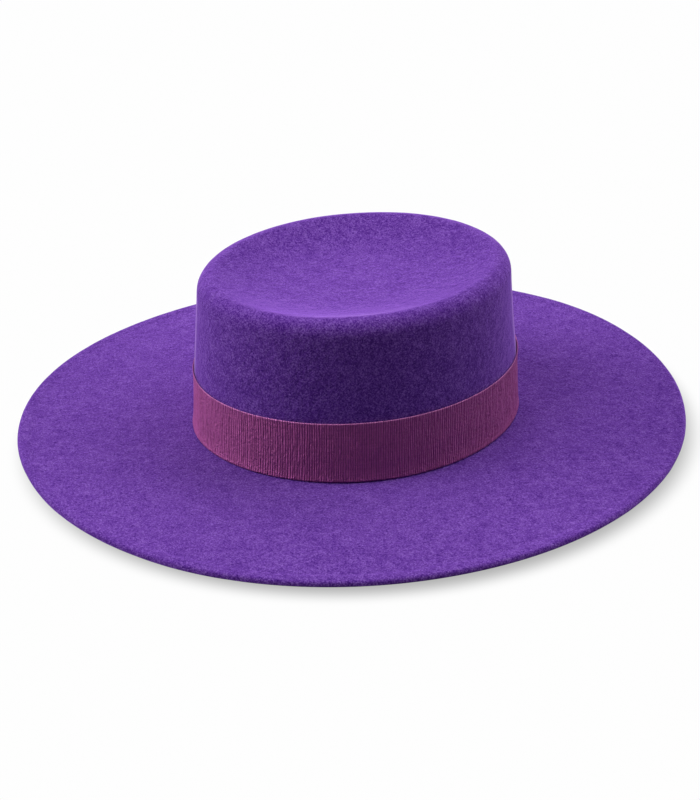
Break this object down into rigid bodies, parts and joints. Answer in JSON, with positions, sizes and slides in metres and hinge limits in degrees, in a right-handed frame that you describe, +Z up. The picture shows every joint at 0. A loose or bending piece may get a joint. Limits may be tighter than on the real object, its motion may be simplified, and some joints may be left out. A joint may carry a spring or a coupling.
{
  "type": "cordobes hat",
  "caption": "Wide flat-brimmed felt hat with a low straight crown, a hollowed top and a plain grosgrain ribbon band.",
  "frame": {"origin": "on the surface that the hat rests on, under the middle of the brim", "axes": "+Z up, -Y towards the front of the hat, +X towards the wearer's left"},
  "size_m": [0.3732, 0.4116, 0.1046],
  "materials": {
    "felt": "violet wool felt, fuzzy, matt with a soft sheen at grazing angles",
    "ribbon": "plum grosgrain ribbon, fine upright ribs, a satin gleam across the ribs"
  },
  "bodies": {
    "root": {"felt_body": "felt", "ribbon_band": "ribbon"}
  },
  "joints": []
}
